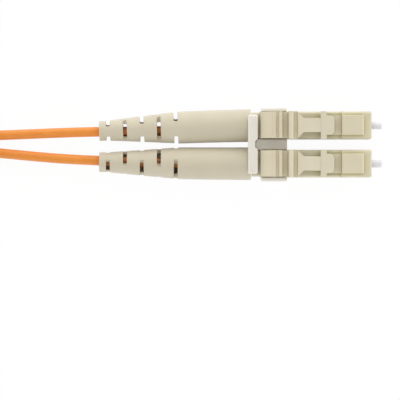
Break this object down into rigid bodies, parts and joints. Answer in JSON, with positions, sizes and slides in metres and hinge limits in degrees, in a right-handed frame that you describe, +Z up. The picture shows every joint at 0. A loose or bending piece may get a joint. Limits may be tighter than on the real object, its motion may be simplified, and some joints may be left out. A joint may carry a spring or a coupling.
{
  "type": "duplex fibre optic connector",
  "caption": "Duplex fibre connector with square beige plugs, latch arms and finger levers, a clip, a white retaining bar, slotted boots and orange cord legs in a tied hank.",
  "frame": {"origin": "centre of the flat underside of the duplex clip, midway between the two plugs", "axes": "+X out of the ferrules, +Y towards plug a, +Z up towards the latches"},
  "size_m": [0.1146, 0.0144, 0.009],
  "materials": {
    "housing_plastic": "moulded beige plastic",
    "latch_plastic": "moulded beige plastic",
    "trigger_plastic": "moulded beige plastic",
    "rear_body_plastic": "moulded beige plastic",
    "boot_elastomer": "soft moulded elastomer",
    "ferrule_ceramic": "ground zirconia ceramic",
    "fibre_glass": "bare glass fibre",
    "flange_metal": "nickel-plated brass",
    "buffer_plastic": "tight buffer",
    "spring_steel": "spring steel wire",
    "aramid_yarn": "aramid yarn",
    "crimp_metal": "crimped metal sleeve",
    "cord_jacket": "soft orange jacket",
    "clip_plastic": "moulded beige plastic",
    "yoke_plastic": "milky white plastic",
    "hank_jacket": "soft orange jacket",
    "tie_plastic": "black hook-and-loop strip"
  },
  "bodies": {
    "connector": {"plug_housing_a": "housing_plastic", "plug_housing_b": "housing_plastic", "rear_body_a": "rear_body_plastic", "rear_body_b": "rear_body_plastic", "boot_a": "boot_elastomer", "boot_b": "boot_elastomer", "crimp_sleeve_a": "crimp_metal", "crimp_sleeve_b": "crimp_metal", "strength_yarn_a": "aramid_yarn", "strength_yarn_b": "aramid_yarn", "ferrule_spring_a": "spring_steel", "ferrule_spring_b": "spring_steel", "cord_a": "cord_jacket", "cord_b": "cord_jacket", "duplex_clip": "clip_plastic", "retaining_yoke": "yoke_plastic", "cord_hank": "hank_jacket", "hank_tie": "tie_plastic"},
    "latch_arm_a": {"latch_a": "latch_plastic"},
    "trigger_lever_a": {"trigger_a": "trigger_plastic"},
    "ferrule_set_a": {"ferrule_a": "ferrule_ceramic", "ferrule_flange_a": "flange_metal", "glass_fibre_a": "fibre_glass", "fibre_buffer_a": "buffer_plastic"},
    "latch_arm_b": {"latch_b": "latch_plastic"},
    "trigger_lever_b": {"trigger_b": "trigger_plastic"},
    "ferrule_set_b": {"ferrule_b": "ferrule_ceramic", "ferrule_flange_b": "flange_metal", "glass_fibre_b": "fibre_glass", "fibre_buffer_b": "buffer_plastic"}
  },
  "joints": [
    {"name": "trigger_press_a", "type": "hinge", "parent": "connector", "child": "trigger_lever_a", "pos_m": [-0.00185, 0.00313, 0.00545], "axis": [0, 1, 0], "range_deg": [0, 23], "stiffness_Nm_per_rad": 0.0008},
    {"name": "latch_press_a", "type": "hinge", "parent": "connector", "child": "latch_arm_a", "pos_m": [0.0109, 0.00313, 0.00468], "axis": [0, -1, 0], "range_deg": [0, 7], "stiffness_Nm_per_rad": 0.004},
    {"name": "ferrule_push_a", "type": "slide", "parent": "connector", "child": "ferrule_set_a", "axis": [1, 0, 0], "range_m": [-0.001, 0], "stiffness_N_per_m": 1500, "deforming": ["ferrule_spring_a"]},
    {"name": "trigger_press_b", "type": "hinge", "parent": "connector", "child": "trigger_lever_b", "pos_m": [-0.00185, -0.00313, 0.00545], "axis": [0, 1, 0], "range_deg": [0, 23], "stiffness_Nm_per_rad": 0.0008},
    {"name": "latch_press_b", "type": "hinge", "parent": "connector", "child": "latch_arm_b", "pos_m": [0.0109, -0.00313, 0.00468], "axis": [0, -1, 0], "range_deg": [0, 7], "stiffness_Nm_per_rad": 0.004},
    {"name": "ferrule_push_b", "type": "slide", "parent": "connector", "child": "ferrule_set_b", "axis": [1, 0, 0], "range_m": [-0.001, 0], "stiffness_N_per_m": 1500, "deforming": ["ferrule_spring_b"]}
  ],
  "couplings": [
    {"joint": "trigger_press_a", "follows": "latch_press_a", "ratio": 3.2857},
    {"joint": "trigger_press_b", "follows": "latch_press_b", "ratio": 3.2857}
  ]
}
